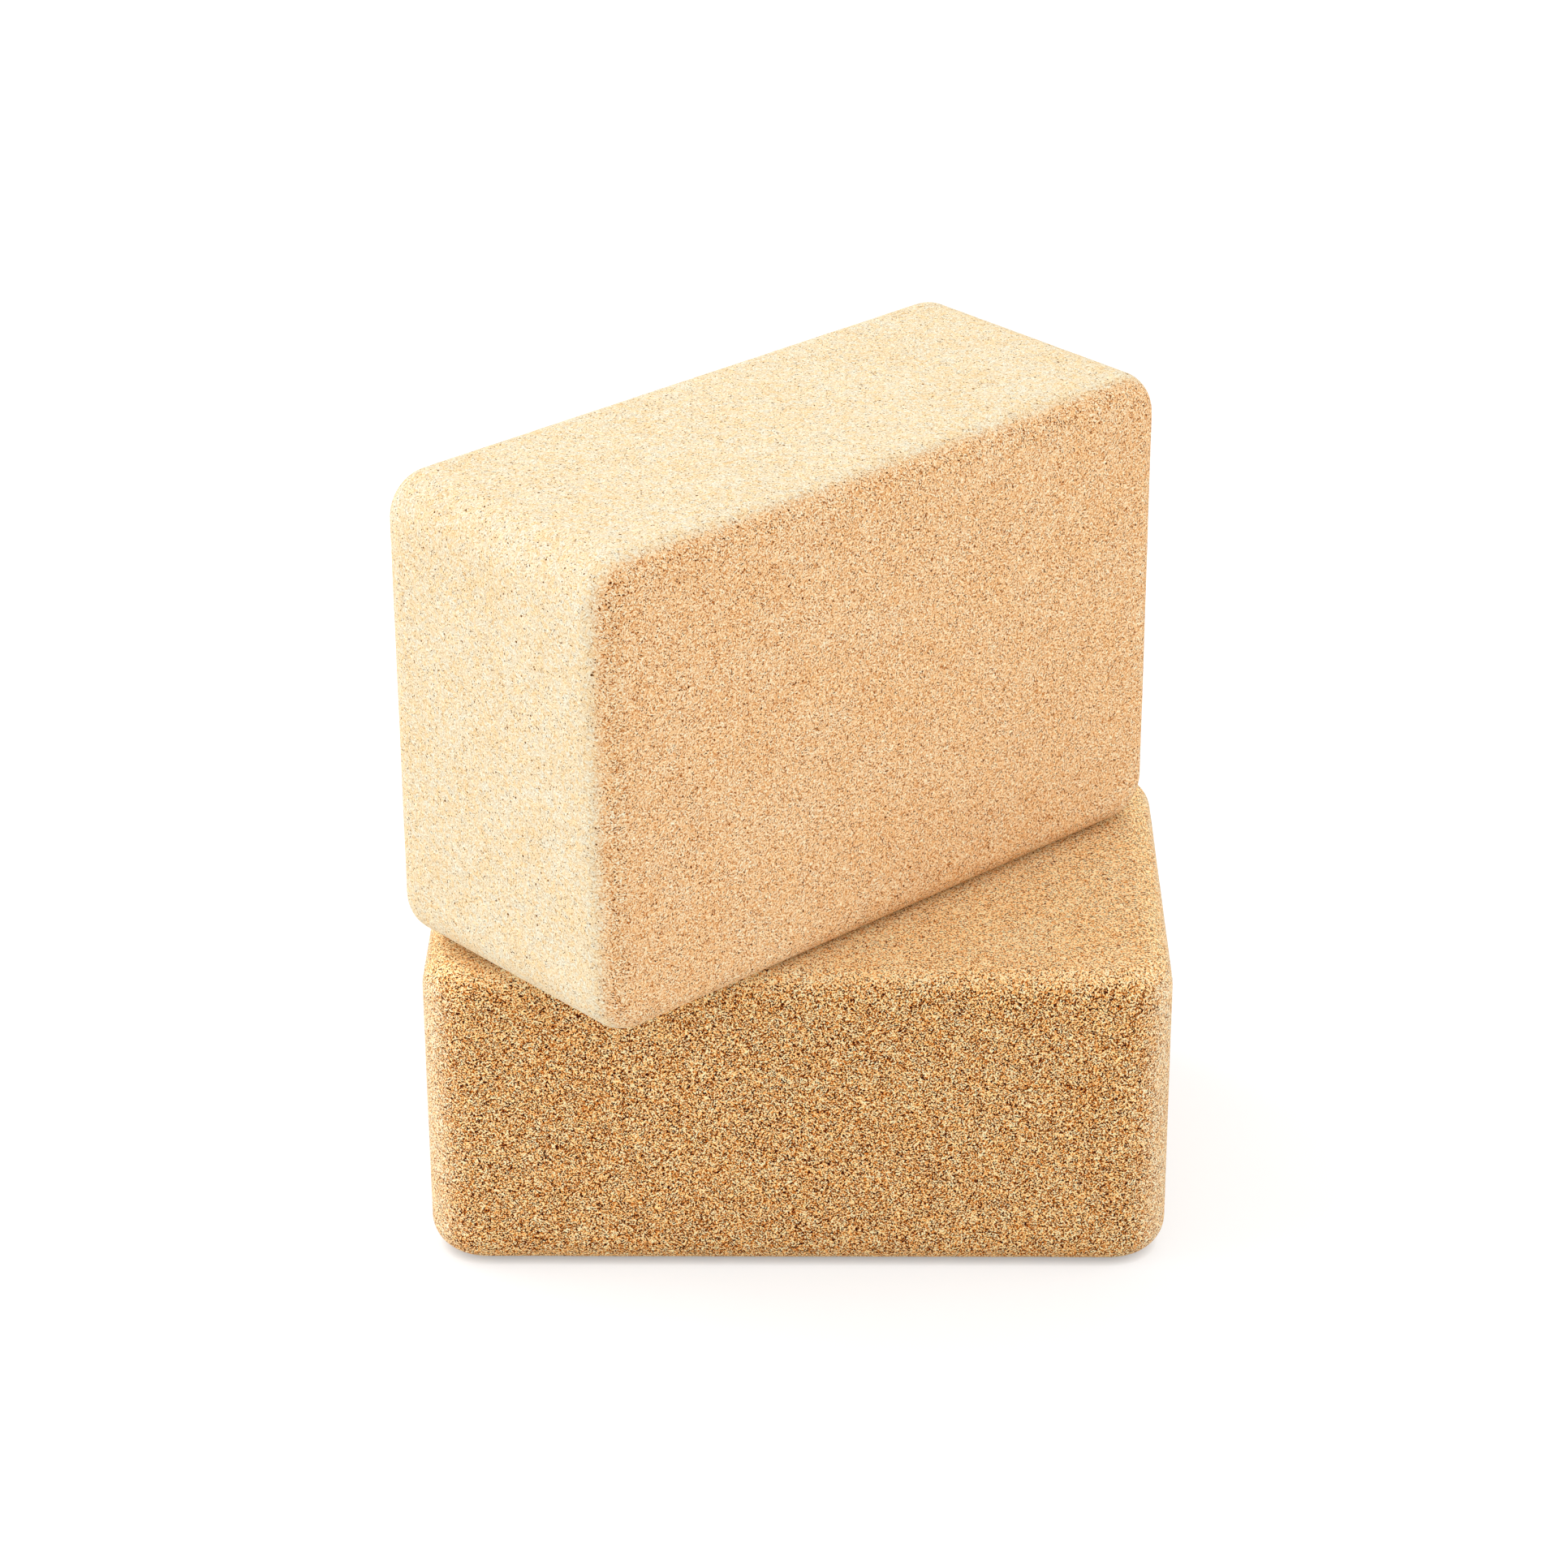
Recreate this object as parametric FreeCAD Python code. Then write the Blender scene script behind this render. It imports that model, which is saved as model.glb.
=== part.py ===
import FreeCAD, Part
import os

# A pair of yoga blocks of pressed cork: one lies flat, the other stands across it on a long narrow face.
# Millimetres, +Z up. The origin is the centre of the lower block's underside, +X runs along its length.

# Size of one block: 9 by 6 by 4 inches
block_length = 228.6
block_width = 152.4
block_thickness = 101.6

# Rounding: the corners of the large faces, sanded rounder on the lower block, and the rims round those faces
lower_corner_radius = 18.0
upper_corner_radius = 14.5
rim_radius = 10.0

# Where the upper block stands on the lower one: its turn about Z, and its centre from the lower block's centre
upper_turn_degrees = 43.0
upper_shift_x = -5.0
upper_shift_y = -4.0

ORIGIN = FreeCAD.Vector(0, 0, 0)
X_AXIS = FreeCAD.Vector(1, 0, 0)
Z_AXIS = FreeCAD.Vector(0, 0, 1)
QUARTER_TURN_DEGREES = 90.0
CUBIC_MM_PER_LITRE = 1e6


def sawn_blank():
    """A sharp-edged block centred on the origin, its length on X, width on Y and thickness on Z."""
    low_corner = FreeCAD.Vector(-block_length / 2, -block_width / 2, -block_thickness / 2)
    return Part.makeBox(block_length, block_width, block_thickness, low_corner)


def round_corners(blank, corner_radius):
    """Round the four edges that run through the thickness, whose two ends differ in height."""
    through = [edge for edge in blank.Edges if edge.Vertexes[0].Z != edge.Vertexes[1].Z]
    return blank.makeFillet(corner_radius, through)


def round_rims(blank):
    """Round the rim of the lower and of the upper large face."""
    faces = sorted(blank.Faces, key=lambda face: face.CenterOfMass.z)
    return blank.makeFillet(rim_radius, faces[0].Edges + faces[-1].Edges)


def cork_block(corner_radius):
    """One finished block, centred on the origin."""
    return round_rims(round_corners(sawn_blank(), corner_radius))


def lying_flat(block):
    """The lower block: on its large face, with its underside at Z = 0."""
    return block.translated(FreeCAD.Vector(0, 0, block_thickness / 2))


def standing_across(block):
    """The upper block: tipped up on a long narrow face, turned, and set on the lower block's top face."""
    tipped = block.rotated(ORIGIN, X_AXIS, QUARTER_TURN_DEGREES)
    turned = tipped.rotated(ORIGIN, Z_AXIS, upper_turn_degrees)
    centre_height = block_thickness + block_width / 2
    return turned.translated(FreeCAD.Vector(upper_shift_x, upper_shift_y, centre_height))


pieces = {
    "lower_block": lying_flat(cork_block(lower_corner_radius)),
    "upper_block": standing_across(cork_block(upper_corner_radius)),
}

os.makedirs("parts", exist_ok=True)
for name, piece in pieces.items():
    piece.exportStep(f"parts/{name}.step")
    litres = piece.Volume / CUBIC_MM_PER_LITRE
    print(f"{name}: {litres:.3f} litres, valid: {piece.isValid()}, solids: {len(piece.Solids)}")
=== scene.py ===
import math

import bpy
import numpy as np
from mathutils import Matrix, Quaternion, Vector


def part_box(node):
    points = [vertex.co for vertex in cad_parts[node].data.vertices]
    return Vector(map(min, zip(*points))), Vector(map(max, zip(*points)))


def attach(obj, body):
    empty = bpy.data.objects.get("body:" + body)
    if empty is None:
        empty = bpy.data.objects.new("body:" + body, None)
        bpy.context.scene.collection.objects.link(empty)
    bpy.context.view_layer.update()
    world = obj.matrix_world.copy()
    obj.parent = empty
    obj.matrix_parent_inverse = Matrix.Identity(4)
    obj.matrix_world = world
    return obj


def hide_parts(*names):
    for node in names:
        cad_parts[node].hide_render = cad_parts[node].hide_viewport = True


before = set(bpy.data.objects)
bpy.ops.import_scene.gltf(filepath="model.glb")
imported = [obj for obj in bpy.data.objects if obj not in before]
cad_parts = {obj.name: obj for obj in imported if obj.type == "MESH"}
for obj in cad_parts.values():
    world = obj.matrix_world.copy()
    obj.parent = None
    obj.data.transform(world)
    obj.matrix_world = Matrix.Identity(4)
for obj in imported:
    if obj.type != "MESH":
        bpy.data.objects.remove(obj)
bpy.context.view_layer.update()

# Two yoga blocks of pressed cork. Metres, in the frame's own axes.

# One block's size, read from the block that lies square to the axes, and its rounding
lower_low, lower_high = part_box("lower_block")
BLOCK_SIZE = np.array(lower_high - lower_low)
LOWER_CORNER_RADIUS = 0.018
UPPER_CORNER_RADIUS = 0.0145
RIM_RADIUS = 0.010

# Axes of each block's length, width and thickness
UPPER_TURN = math.radians(43.0)
turn_x, turn_y = math.cos(UPPER_TURN), math.sin(UPPER_TURN)
LOWER_AXES = ((1, 0, 0), (0, 1, 0), (0, 0, 1))
UPPER_AXES = ((turn_x, turn_y, 0), (0, 0, 1), (turn_y, -turn_x, 0))

# Finish of each block: on its long narrow sides, on its ends and on its large faces. Its third entry is
# painted light, a paler cream on the faces that the lamps light strongly.
LOWER_FINISH = {"tone": (0.462, 0.60, 0.698), "coarse": (1.0, 0.5, 0.66), "painted_light": (0.0, 0.5, 0.0)}
UPPER_FINISH = {"tone": (0.568, 0.558, 0.540), "coarse": (0.148, 0.135, 0.31), "painted_light": (1.0, 1.0, 0.39)}

# Between which shares of the squared normal a block's finish changes, round its corners and its rims
END_CHANGE = (0.0, 0.75)
GRAIN_CHANGE = (0.05, 0.80)
PAINTED_LIGHT_CHANGE = (0.05, 0.55)

# The most that x squared times 1 - x can be, which marks the middle of a rim
RIM_PEAK = 4 / 27

# Mesh cells along the length, width and thickness: about 1.2 mm each
CELLS = np.array([188, 125, 84])

# On the flat map, in cells: the room that a face takes along each axis, and its margin in there
MAP_ROOM = CELLS + 3
MAP_MARGIN = 1

# Sizes of what the pressed cork shows: flakes, finer grains, granules that differ in hue, dark specks,
# larger spots and slow changes of tone
FLAKE = 0.00050
FINE_GRAIN = 0.00034
GRANULE = 0.0013
SPECK_SPACING = 0.0019
SPECK_RADIUS_SHARE = 0.28
SPOT_SPACING = 0.0045
SPOT_RADIUS_SHARE = 0.25
SPOT_CORE_SHARE = 0.5
MOTTLE = 0.018
MOTTLE_DETAIL = 3.0

# How far the painted shade on each flake lies from its painted light side, and the stretch over which that
# direction changes
FLAKE_SHADE_SHIFT = 0.00031
FLAKE_SWIRL = 0.003

# Relief of the surface: torn-out spots, lumps of granules on coarse faces, and a slow unevenness
PIT_DEPTH = 0.0005
LUMP_LENGTH = 0.0032
LUMP_DETAIL = 1.0
LUMP_DEPTH = 0.00016
WAVE_LENGTH = 0.030
WAVE_DETAIL = 2.0
WAVE_DEPTH = 0.00025

# Kinds of spot, by a chance from 0 to 1 that each has: pits up to the first, then bark, then cream flecks
PIT_CHANCE = 0.20
BARK_CHANCE = 0.36
FLECK_CHANCE = 0.62
KIND_BLEND = 0.01

# How strongly the cork's features show: a number, or two of them for a smooth face and a coarse one
FLAKE_SHADE_CONTRAST = 1.7
GRAIN_CONTRAST = 0.8
GAP_CHANCE = (0.005, 0.12)
DARKNESS = (0.5, 0.85)
MOTTLE_CONTRAST = (0.04, 0.12)
SPOT_PRESENCE = (0.2, 1.0)
# Pits and bark share this darker tone: on the pits it is painted shade
BARK_AND_PIT_SHADE_TONE = -0.22
FLECK_TONE = 0.16
RIM_COARSENESS = 0.07

# Chance of a dark speck, on sanded cork and on cork where light is painted in paler
SPECK_CHANCE = (0.10, 0.15)

# Colours of cork by their lightness, from gaps and bark to cream: as sanded, and paler, as painted light on
# the strongly lit faces
CORK_TONES = (
    (0.02, (0.030, 0.001, 0.000)),
    (0.08, (0.180, 0.022, 0.000)),
    (0.19, (0.430, 0.085, 0.001)),
    (0.31, (0.660, 0.190, 0.014)),
    (0.45, (0.815, 0.362, 0.095)),
    (0.55, (0.885, 0.486, 0.208)),
    (0.65, (0.940, 0.590, 0.298)),
    (0.78, (0.985, 0.745, 0.445)),
    (0.92, (0.995, 0.930, 0.700)),
)
PAINTED_LIGHT_TONES = (
    (0.05, (0.115, 0.038, 0.006)),
    (0.20, (0.335, 0.166, 0.057)),
    (0.36, (0.515, 0.333, 0.167)),
    (0.48, (0.668, 0.504, 0.310)),
    (0.59, (0.786, 0.657, 0.454)),
    (0.70, (0.835, 0.784, 0.591)),
)
COARSE_TINT = (1.0, 0.925, 0.70, 1.0)

# Tints of the most orange and the most cream-coloured granules, and how much of that range a face has
ORANGE_TINT = (1.04, 0.94, 0.775, 1.0)
CREAM_TINT = (0.96, 1.045, 1.17, 1.0)
COARSE_HUE_CHANGE = 1.3
# More of that range where light is painted in paler
PAINTED_LIGHT_HUE_CHANGE = 0.88
HUE_DRIFT = 0.5

# Surface of the cork: its roughness between a dark tone and a light one, its gloss, and the finest bumps
ROUGHNESS_TONES = (0.1, 0.7)
ROUGHNESS = (0.95, 0.82)
SPECULAR_LEVEL = 0.1
BUMP_STRENGTH = 0.5
BUMP_HEIGHT = 0.0002

# Camera, as the photograph was taken; the lens is for a 36 mm wide sensor
SENSOR_WIDTH = 36.0
LENS = 105.78
CAMERA_AIM = Vector((-0.0045, -0.0020, 0.1317))
CAMERA_DISTANCE = 1.435
CAMERA_AZIMUTH = math.radians(0.78)
CAMERA_ELEVATION = math.radians(26.32)
CAMERA_ROLL = -0.0051

# Light: the strength of the white surround, and the place, size and power of each soft box
SURROUND = 0.93
LAMPS = {
    "key": ((-2.1, -0.4, 1.0), 1.5, 18.0),
    "top": ((-1.3, 0.7, 1.9), 1.5, 18.0),
    "fill": ((1.9, -0.2, 1.3), 1.6, 12.0),
}

# White floor: the light it throws back at the blocks, and where it is seen, its colour and its own glow.
# Close under the block, within the reach, only a share of the glow is left: a painted contact shadow.
FLOOR_SIZE = 12.0
FLOOR_BOUNCE = 0.85
FLOOR_SHOWN = 0.40
FLOOR_GLOW = 0.62
CONTACT_REACH = 0.003
CONTACT_GLOW = 0.5
CONTACT_SAMPLES = 8

WHITE = (1.0, 1.0, 1.0, 1.0)

# Middle of a chance, a noise or a hue, which run from 0 to 1
MIDDLE = 0.5

# Stands in for zero in a division
TINY = 1e-9


class Graph:
    """Adds nodes to a node tree. An input takes a number, a tuple or another node's output."""

    def __init__(self, tree):
        self.tree = tree

    def node(self, kind, settings=None, **inputs):
        """A new node. The input i0 is the first one, and Some_Name is the one called Some Name."""
        made = self.tree.nodes.new(kind)
        for name, value in (settings or {}).items():
            setattr(made, name, value)
        for name, value in inputs.items():
            key = int(name[1:]) if name[1:].isdigit() else name.replace("_", " ")
            self.put(value, made.inputs[key])
        return made

    def put(self, value, socket):
        if isinstance(value, bpy.types.NodeSocket):
            self.tree.links.new(value, socket)
        else:
            socket.default_value = value

    def math(self, operation, a, b=0.0, clamp=False):
        settings = {"operation": operation, "use_clamp": clamp}
        return self.node("ShaderNodeMath", settings, i0=a, i1=b).outputs[0]

    def add(self, a, b, clamp=False):
        return self.math("ADD", a, b, clamp)

    def subtract(self, a, b):
        return self.math("SUBTRACT", a, b)

    def times(self, a, b):
        return self.math("MULTIPLY", a, b)

    def less(self, a, b):
        """1 where a is less than b, 0 elsewhere."""
        return self.math("LESS_THAN", a, b)

    def vector(self, operation, **inputs):
        return self.node("ShaderNodeVectorMath", {"operation": operation}, **inputs).outputs[0]

    def line(self, value, at_zero, at_one):
        """at_zero where value is 0, at_one where it is 1, and straight on between and beyond."""
        return self.add(self.times(value, at_one - at_zero), at_zero)

    def ramp(self, value, low, high, to_low=0.0, to_high=1.0):
        """A smooth step of value, from to_low at low to to_high at high."""
        settings = {"interpolation_type": "SMOOTHSTEP"}
        return self.node("ShaderNodeMapRange", settings, Value=value, From_Min=low, From_Max=high,
                         To_Min=to_low, To_Max=to_high).outputs[0]

    def mix(self, share, first, second, blend="MIX"):
        """The first colour, changed by the second one as far as the share says."""
        settings = {"data_type": "RGBA", "blend_type": blend}
        return self.node("ShaderNodeMix", settings, i0=share, i6=first, i7=second).outputs[2]

    def cells(self, place, size):
        """Distance to the nearest cell's centre, in cells, and three chances of that cell."""
        made = self.node("ShaderNodeTexVoronoi", Vector=place, Scale=1 / size)
        chances = self.node("ShaderNodeSeparateXYZ", i0=made.outputs["Color"]).outputs
        return made.outputs["Distance"], chances

    def chances(self, place, size):
        return self.cells(place, size)[1]

    def noise(self, place, size, detail):
        return self.node("ShaderNodeTexNoise", Vector=place, Scale=1 / size, Detail=detail).outputs[0]

    def direction(self, place, size):
        """A direction that changes slowly from place to place."""
        noise = self.node("ShaderNodeTexNoise", Vector=place, Scale=1 / size, Detail=0.0).outputs["Color"]
        return self.vector("NORMALIZE", i0=self.vector("SUBTRACT", i0=noise, i1=(MIDDLE, MIDDLE, MIDDLE)))


def spots(graph, place, spacing, radius_share):
    """Round spots: how far inside one a point lies, from 0 to 1, and the chance that gives its kind."""
    away, chances = graph.cells(place, spacing)
    radius = graph.times(chances[1], radius_share)
    inside = graph.ramp(graph.math("DIVIDE", away, radius), SPOT_CORE_SHARE, 1.0, 1.0, 0.0)
    return inside, chances[0]


def box_quads(cells):
    """Lattice points (i, j, k) of each quad on a box of cells, turned outwards, with its axis and side."""
    for axis in range(3):
        along, across = (axis + 1) % 3, (axis + 2) % 3
        first, second = np.meshgrid(np.arange(cells[along]), np.arange(cells[across]), indexing="ij")
        for side in (0, 1):
            quads = np.empty((first.size, 4, 3), int)
            quads[:, :, axis] = side * cells[axis]
            quads[:, :, along] = first.reshape(-1, 1) + (0, 1, 1, 0)
            quads[:, :, across] = second.reshape(-1, 1) + (0, 0, 1, 1)
            yield axis, side, quads if side else quads[:, ::-1]


def rounded(points, corner_radius):
    """Move points of a sharp block's surface onto the rounded block. Returns them and their normals."""
    half = BLOCK_SIZE / 2
    plan = points[:, :2]
    near = np.clip(plan, corner_radius - half[:2], half[:2] - corner_radius)
    out = plan - near
    reach = np.linalg.norm(out, axis=1, keepdims=True)
    inner = near + out * np.minimum(1, (corner_radius - RIM_RADIUS) / np.maximum(reach, TINY))
    level = np.clip(points[:, 2:], RIM_RADIUS - half[2], half[2] - RIM_RADIUS)
    core = np.hstack([inner, level])
    away = points - core
    normals = away / np.linalg.norm(away, axis=1, keepdims=True)
    return core + RIM_RADIUS * normals, normals


def smooth_step(values, low, high):
    share = np.clip((values - low) / (high - low), 0, 1)
    return share * share * (3 - 2 * share)


def add_attribute(mesh, name, values):
    mesh.attributes.new(name, "FLOAT", "POINT").data.foreach_set("value", values.astype(np.float32))


def add_finish(mesh, normals, finish):
    """Store the finish point by point, and how near a point is to the middle of a rim, at most 1."""
    large = normals[:, 2] ** 2
    end = smooth_step(normals[:, 0] ** 2 / np.maximum(1 - large, TINY), *END_CHANGE)
    # Painted light: the finish's third entry gives the strongly lit faces a paler cream
    for attribute, change in (("tone", GRAIN_CHANGE), ("coarse", GRAIN_CHANGE), ("painted_light", PAINTED_LIGHT_CHANGE)):
        on_side, on_end, on_large = finish[attribute]
        narrow = on_side + (on_end - on_side) * end
        add_attribute(mesh, attribute, narrow + (on_large - narrow) * smooth_step(large, *change))
    add_attribute(mesh, "rim", large**2 * (1 - large) / RIM_PEAK)


def map_places():
    """Where each of the six faces lies on the flat map, in cells: corner, and whether it is turned."""
    length, width, thick = MAP_ROOM
    return {
        (2, 0): (0, 0, False),
        (2, 1): (0, width, False),
        (1, 0): (0, 2 * width, True),
        (1, 1): (length, 2 * thick, False),
        (0, 0): (length, 0, False),
        (0, 1): (length, thick, False),
    }


def flat_map(axis, side, quads):
    """Places of the quads' corners on the flat map, from 0 to 1."""
    length, width, thick = MAP_ROOM
    left, bottom, turned = map_places()[axis, side]
    places = quads[:, :, [(axis + 1) % 3, (axis + 2) % 3]]
    if turned:
        places = places[:, :, ::-1]
    full = np.array([length + width, 2 * thick + length])
    return (places + (left + MAP_MARGIN, bottom + MAP_MARGIN)) / full


def block_mesh(name, axes, centre, corner_radius, finish):
    """A dense mesh of one block, placed on its axes, with its finish and its flat map."""
    sides = list(box_quads(CELLS))
    lattice = np.concatenate([quads for _, _, quads in sides])
    keys = np.ravel_multi_index(lattice.reshape(-1, 3).T, CELLS + 1)
    points, corners = np.unique(keys, return_inverse=True)
    steps = np.stack(np.unravel_index(points, CELLS + 1), 1)
    places, normals = rounded((steps / CELLS - 0.5) * BLOCK_SIZE, corner_radius)
    mesh = bpy.data.meshes.new(name)
    mesh.from_pydata(places @ axes + centre, [], corners.reshape(-1, 4).tolist())
    add_finish(mesh, normals, finish)
    uv = np.concatenate([flat_map(*side) for side in sides])
    mesh.uv_layers.new(name="OFBake").data.foreach_set("uv", uv.astype(np.float32).ravel())
    mesh.shade_smooth()
    return mesh


def relief_group():
    """Presses the relief into a mesh, inwards only."""
    tree = bpy.data.node_groups.new("cork_relief", "GeometryNodeTree")
    tree.interface.new_socket("Geometry", in_out="INPUT", socket_type="NodeSocketGeometry")
    tree.interface.new_socket("Geometry", in_out="OUTPUT", socket_type="NodeSocketGeometry")
    graph = Graph(tree)
    place = graph.node("GeometryNodeInputPosition").outputs[0]
    coarse = graph.node("GeometryNodeInputNamedAttribute", {"data_type": "FLOAT"}, Name="coarse").outputs[0]
    inside, kind = spots(graph, place, SPOT_SPACING, SPOT_RADIUS_SHARE)
    pits = graph.times(graph.times(inside, graph.less(kind, PIT_CHANCE)), PIT_DEPTH)
    lumps = graph.times(graph.times(graph.noise(place, LUMP_LENGTH, LUMP_DETAIL), coarse), LUMP_DEPTH)
    waves = graph.times(graph.noise(place, WAVE_LENGTH, WAVE_DETAIL), WAVE_DEPTH)
    depth = graph.add(pits, graph.add(lumps, waves))
    normal = graph.node("GeometryNodeInputNormal").outputs[0]
    inwards = graph.vector("SCALE", i0=normal, Scale=graph.times(depth, -1.0))
    shape = graph.node("NodeGroupInput").outputs[0]
    moved = graph.node("GeometryNodeSetPosition", Geometry=shape, Offset=inwards)
    graph.node("NodeGroupOutput", Geometry=moved.outputs[0])
    return tree


def with_relief(piece, relief):
    """Apply the relief to the piece's mesh."""
    piece.modifiers.new("relief", "NODES").node_group = relief
    settled = piece.evaluated_get(bpy.context.evaluated_depsgraph_get())
    mesh = bpy.data.meshes.new_from_object(settled)
    piece.modifiers.clear()
    piece.data = mesh


def colour_ramp(graph, value, stops):
    """A colour for each value, from stops of (place, colour)."""
    made = graph.node("ShaderNodeValToRGB", i0=value)
    elements = made.color_ramp.elements
    for _ in range(len(stops) - len(elements)):
        elements.new(0.5)
    for element, (place, colour) in zip(elements, stops):
        element.position = place
        element.color = (*colour, 1.0)
    return made.outputs[0]


def painted_flake_shade(graph, place):
    """Painted light and shade on the flakes' sides, from 1 to -1, like relief lit along a slowly wandering
    direction.
    """
    shift = graph.vector("SCALE", i0=graph.direction(place, FLAKE_SWIRL), Scale=FLAKE_SHADE_SHIFT)
    beside = graph.vector("ADD", i0=place, i1=shift)
    return graph.subtract(graph.chances(place, FLAKE)[0], graph.chances(beside, FLAKE)[0])


def dark_marks(graph, place, gap_chance, coarse, painted_light):
    """1 in the dark gaps between grains and in dark specks, 0 elsewhere."""
    gap = graph.less(gap_chance, graph.line(coarse, *GAP_CHANCE))
    speck, chance = spots(graph, place, SPECK_SPACING, SPECK_RADIUS_SHARE)
    # Specks show more often where light is painted in paler
    speck = graph.times(speck, graph.less(chance, graph.line(painted_light, *SPECK_CHANCE)))
    return graph.math("MAXIMUM", gap, speck)


def spot_tone(graph, place, coarse):
    """How much darker the pits and the bark are, and how much lighter the cream flecks. On the pits the
    darkness is painted shade in their hollows; on the bark it is its own colour.
    """
    inside, kind = spots(graph, place, SPOT_SPACING, SPOT_RADIUS_SHARE)
    lighter = graph.ramp(kind, BARK_CHANCE - KIND_BLEND, BARK_CHANCE + KIND_BLEND, BARK_AND_PIT_SHADE_TONE, FLECK_TONE)
    present = graph.times(inside, graph.less(kind, FLECK_CHANCE))
    present = graph.times(present, graph.line(coarse, *SPOT_PRESENCE))
    return graph.times(present, lighter)


def granule_tint(graph, place, coarse, painted_light, mottle):
    """A tint between orange and cream, granule by granule, which also drifts slowly."""
    coarse_change = graph.times(graph.times(coarse, coarse), COARSE_HUE_CHANGE)
    # Granules differ more in hue where light is painted in paler
    change = graph.add(coarse_change, graph.times(painted_light, PAINTED_LIGHT_HUE_CHANGE))
    granule = graph.subtract(graph.chances(place, GRANULE)[0], MIDDLE)
    drift = graph.line(mottle, MIDDLE, MIDDLE + HUE_DRIFT)
    hue = graph.add(graph.times(granule, change), drift)
    return graph.mix(hue, ORANGE_TINT, CREAM_TINT)


def cork_material():
    """Pressed cork. Its parts add up to one tone, which picks the colour and the roughness."""
    material = bpy.data.materials.new("pressed_cork")
    material.use_nodes = True
    graph = Graph(material.node_tree)
    shader = material.node_tree.nodes["Principled BSDF"]
    place = graph.node("ShaderNodeTexCoord").outputs["Object"]
    tone, coarse, painted_light, rim = (graph.node("ShaderNodeAttribute", {"attribute_name": name}).outputs["Fac"]
                               for name in ("tone", "coarse", "painted_light", "rim"))
    coarse = graph.add(coarse, graph.times(rim, RIM_COARSENESS))

    flake_shade = painted_flake_shade(graph, place)
    grain, gap_chance, _ = graph.chances(place, FINE_GRAIN)
    grain = graph.subtract(grain, MIDDLE)
    dark = dark_marks(graph, place, gap_chance, coarse, painted_light)
    mottle = graph.subtract(graph.noise(place, MOTTLE, MOTTLE_DETAIL), MIDDLE)
    # Painted shade and light on the flakes' sides
    tone = graph.add(tone, graph.times(flake_shade, graph.times(coarse, FLAKE_SHADE_CONTRAST)))
    tone = graph.add(tone, graph.times(grain, graph.times(coarse, GRAIN_CONTRAST)))
    tone = graph.subtract(tone, graph.times(dark, graph.line(coarse, *DARKNESS)))
    tone = graph.add(tone, graph.times(mottle, graph.line(coarse, *MOTTLE_CONTRAST)))
    tone = graph.add(tone, spot_tone(graph, place, coarse), clamp=True)

    sanded = graph.mix(coarse, colour_ramp(graph, tone, CORK_TONES), COARSE_TINT, "MULTIPLY")
    # Painted light: the strongly lit faces take the paler tones
    colour = graph.mix(painted_light, sanded, colour_ramp(graph, tone, PAINTED_LIGHT_TONES))
    tint = granule_tint(graph, place, coarse, painted_light, mottle)
    graph.put(graph.mix(1.0, colour, tint, "MULTIPLY"), shader.inputs["Base Color"])

    # The painted flake shade also gives the bump's height
    height = graph.subtract(flake_shade, dark)
    bump = graph.node("ShaderNodeBump", Strength=BUMP_STRENGTH, Distance=BUMP_HEIGHT, Height=height)
    graph.put(bump.outputs[0], shader.inputs["Normal"])
    graph.put(graph.ramp(tone, *ROUGHNESS_TONES, *ROUGHNESS), shader.inputs["Roughness"])
    shader.inputs["Specular IOR Level"].default_value = SPECULAR_LEVEL
    return material


def add_to_scene(name, data):
    made = bpy.data.objects.new(name, data)
    bpy.context.scene.collection.objects.link(made)
    return made


def make_block(node, axes, corner_radius, finish, relief, material):
    """Dress one node's solid in cork."""
    low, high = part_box(node)
    mesh = block_mesh(node + "_cork", np.array(axes), np.array((low + high) / 2), corner_radius, finish)
    piece = add_to_scene(node + "_cork", mesh)
    with_relief(piece, relief)
    piece.data.materials.append(material)
    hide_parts(node)
    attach(piece, node)


def aimed(obj, place, aim):
    obj.location = place
    obj.rotation_mode = "QUATERNION"
    obj.rotation_quaternion = (Vector(aim) - Vector(place)).to_track_quat("-Z", "Y")


def add_lamp(name, place, size, power):
    """A square soft box that faces the blocks."""
    light = bpy.data.lights.new(name, "AREA")
    light.size = size
    light.energy = power
    aimed(add_to_scene(name, light), place, CAMERA_AIM)


def seen_directly(graph):
    """1 for what the camera, a mirror or glass shows, 0 for light that reaches the blocks."""
    path = graph.node("ShaderNodeLightPath").outputs
    mirrored = graph.add(path["Is Glossy Ray"], path["Is Transmission Ray"])
    return graph.add(path["Is Camera Ray"], mirrored, clamp=True)


def add_world():
    """An even white surround, which shows as plain white."""
    world = bpy.data.worlds.new("studio")
    bpy.context.scene.world = world
    world.use_nodes = True
    background = world.node_tree.nodes["Background"]
    background.inputs["Color"].default_value = WHITE
    graph = Graph(world.node_tree)
    graph.put(graph.line(seen_directly(graph), SURROUND, 1.0), background.inputs["Strength"])


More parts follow.
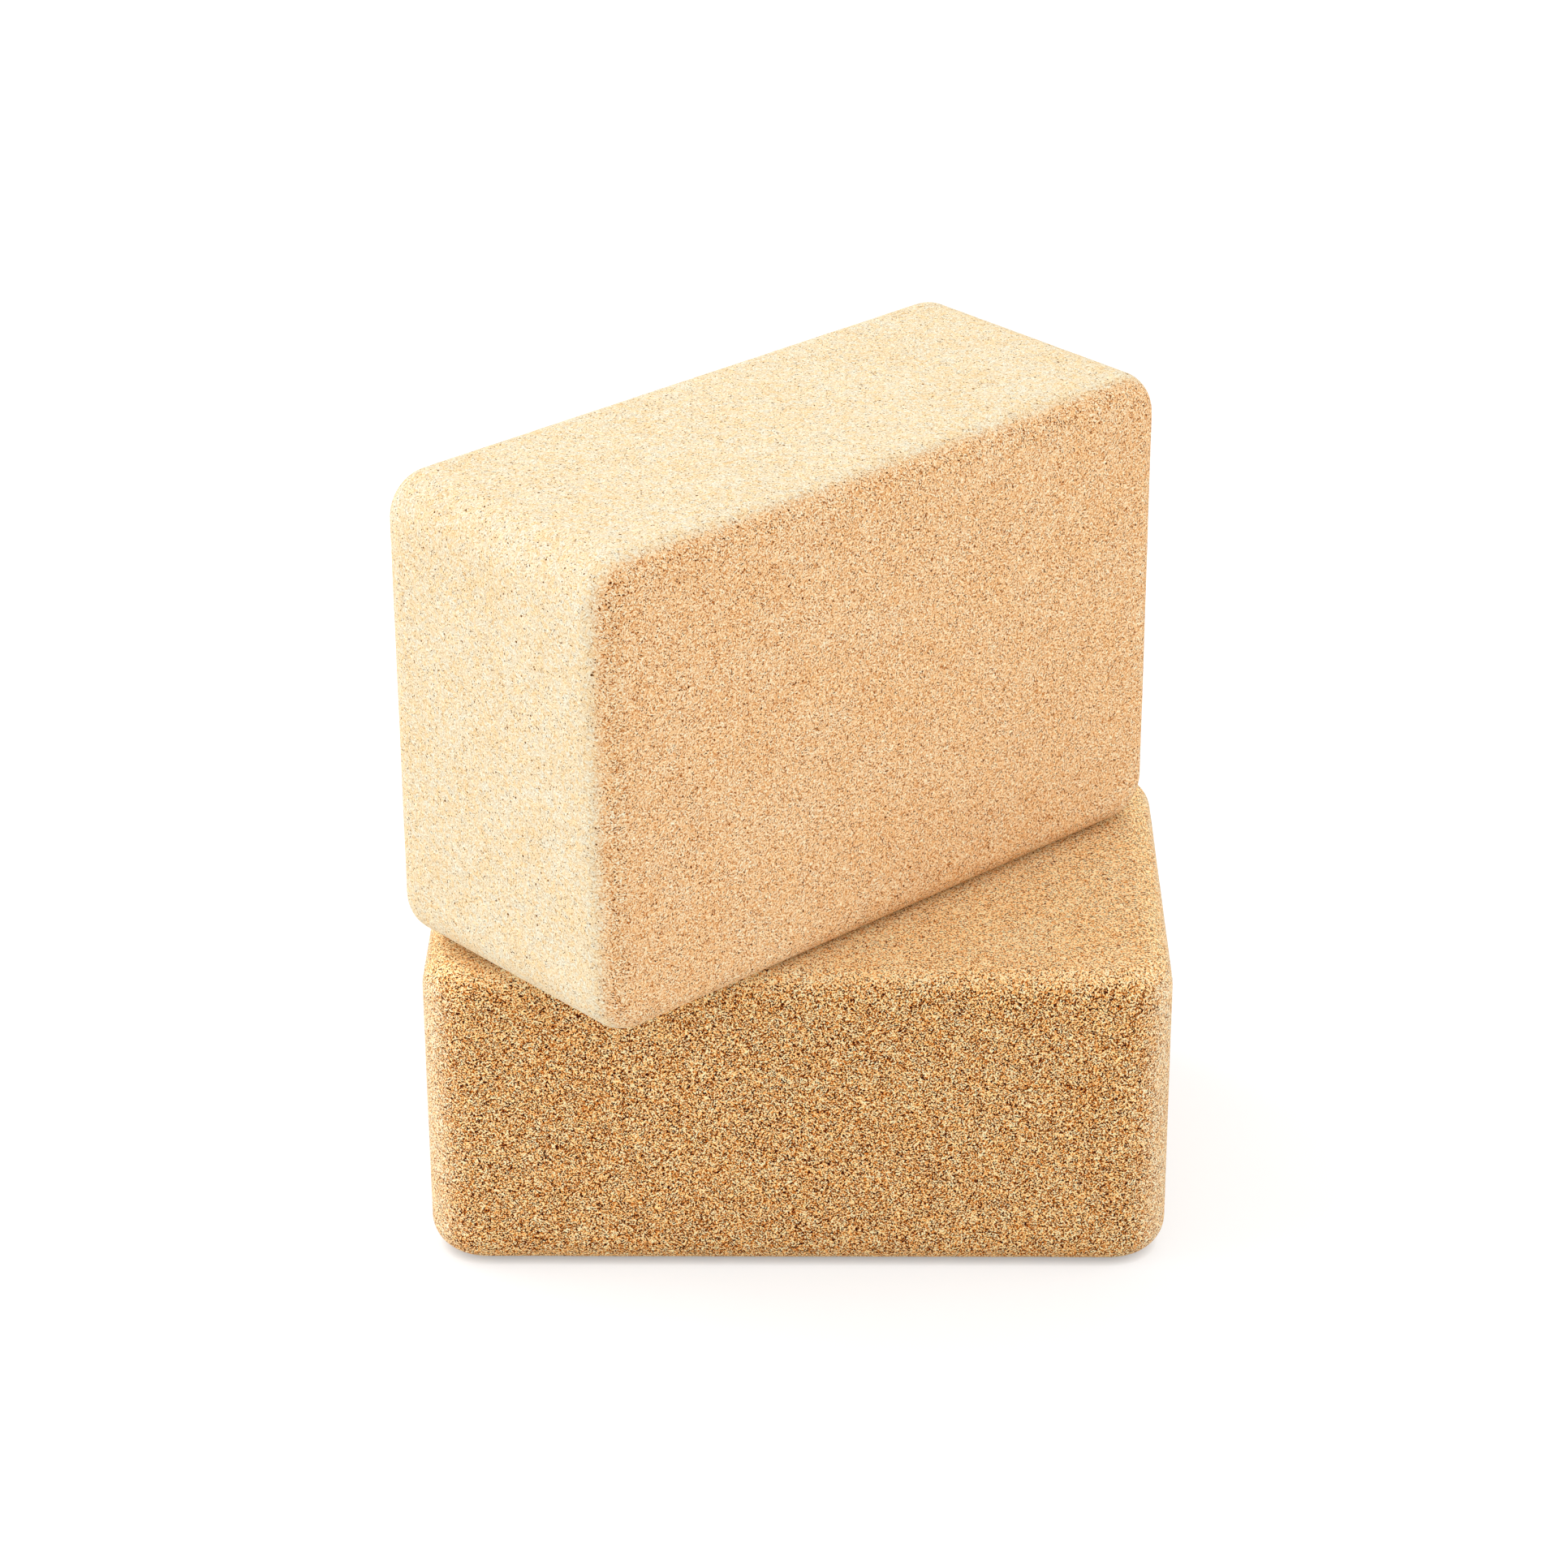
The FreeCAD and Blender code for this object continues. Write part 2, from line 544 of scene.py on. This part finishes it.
def floor_material():
    """White that keeps a faint shadow: it glows where it is seen, and the glow is dimmed close under the
    block, a painted contact shadow.
    """
    material = bpy.data.materials.new("floor_white")
    material.use_nodes = True
    material.node_tree.nodes.clear()
    graph = Graph(material.node_tree)
    seen = seen_directly(graph)
    diffuse = graph.node("ShaderNodeBsdfDiffuse", Color=graph.line(seen, FLOOR_BOUNCE, FLOOR_SHOWN))
    settings = {"samples": CONTACT_SAMPLES}
    uncovered = graph.node("ShaderNodeAmbientOcclusion", settings, Distance=CONTACT_REACH).outputs["AO"]
    painted_contact_shadow = graph.line(uncovered, CONTACT_GLOW, 1.0)
    glowing = graph.node("ShaderNodeEmission", Strength=graph.times(graph.times(seen, FLOOR_GLOW), painted_contact_shadow))
    both = graph.node("ShaderNodeAddShader", i0=diffuse.outputs[0], i1=glowing.outputs[0])
    graph.node("ShaderNodeOutputMaterial", Surface=both.outputs[0])
    return material


def add_floor():
    half = FLOOR_SIZE / 2
    corners = [(-half, -half, 0), (half, -half, 0), (half, half, 0), (-half, half, 0)]
    mesh = bpy.data.meshes.new("floor")
    mesh.from_pydata(corners, [], [(0, 1, 2, 3)])
    mesh.materials.append(floor_material())
    floor = add_to_scene("floor", mesh)


def add_camera():
    camera = add_to_scene("camera", bpy.data.cameras.new("camera"))
    bpy.context.scene.camera = camera
    camera.data.sensor_width = SENSOR_WIDTH
    camera.data.lens = LENS
    level = math.cos(CAMERA_ELEVATION)
    sideways = math.sin(CAMERA_AZIMUTH) * level
    towards_viewer = -math.cos(CAMERA_AZIMUTH) * level
    back = Vector((sideways, towards_viewer, math.sin(CAMERA_ELEVATION)))
    aimed(camera, CAMERA_AIM + back * CAMERA_DISTANCE, CAMERA_AIM)
    camera.rotation_quaternion @= Quaternion((0, 0, 1), CAMERA_ROLL)


relief = relief_group()
cork = cork_material()
make_block("lower_block", LOWER_AXES, LOWER_CORNER_RADIUS, LOWER_FINISH, relief, cork)
make_block("upper_block", UPPER_AXES, UPPER_CORNER_RADIUS, UPPER_FINISH, relief, cork)

add_camera()
add_world()
add_floor()
for name, lamp in LAMPS.items():
    add_lamp(name, *lamp)

bpy.context.scene.view_settings.view_transform = "Standard"
